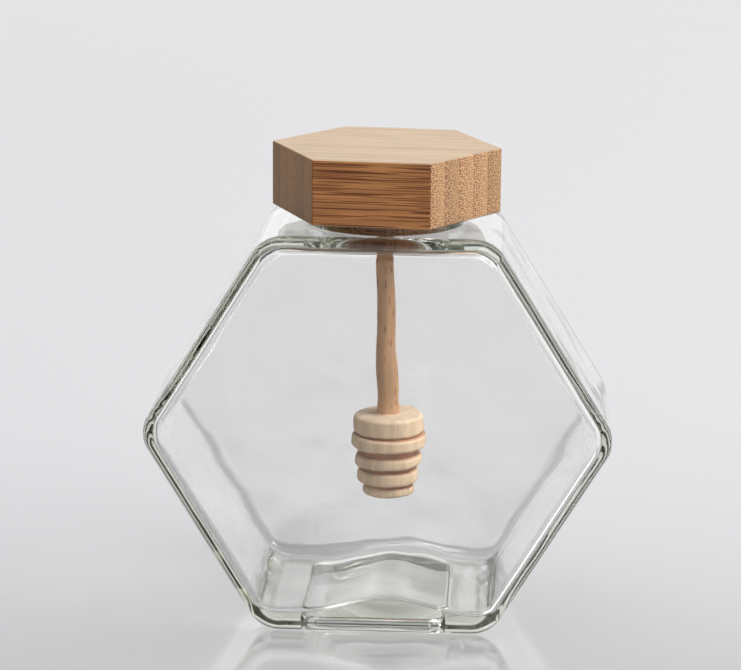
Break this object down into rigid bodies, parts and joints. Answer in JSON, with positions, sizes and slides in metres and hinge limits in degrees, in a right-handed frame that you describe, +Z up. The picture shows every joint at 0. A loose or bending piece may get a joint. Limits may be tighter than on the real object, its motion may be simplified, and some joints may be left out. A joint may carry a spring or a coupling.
{
  "type": "hexagonal glass honey jar with bamboo lid and honey dipper",
  "caption": "Empty clear glass honey jar with a flat upright hexagonal body, a hexagonal bamboo lid and a wooden honey dipper hanging inside.",
  "frame": {"origin": "centre of the base, on the plane it stands on", "axes": "+Z up through the neck, +Y from the front face to the back face, +X across the hexagon from corner to corner"},
  "size_m": [0.1172, 0.054, 0.1211],
  "materials": {
    "clear_glass": "clear polished glass with a faint green tint in its depth",
    "bamboo": "sanded bamboo laminate, thinly oiled",
    "beech": "turned beech, raw and lightly sanded"
  },
  "bodies": {
    "root": {"glass_jar": "clear_glass", "bamboo_lid": "bamboo", "honey_dipper": "beech"}
  },
  "joints": []
}
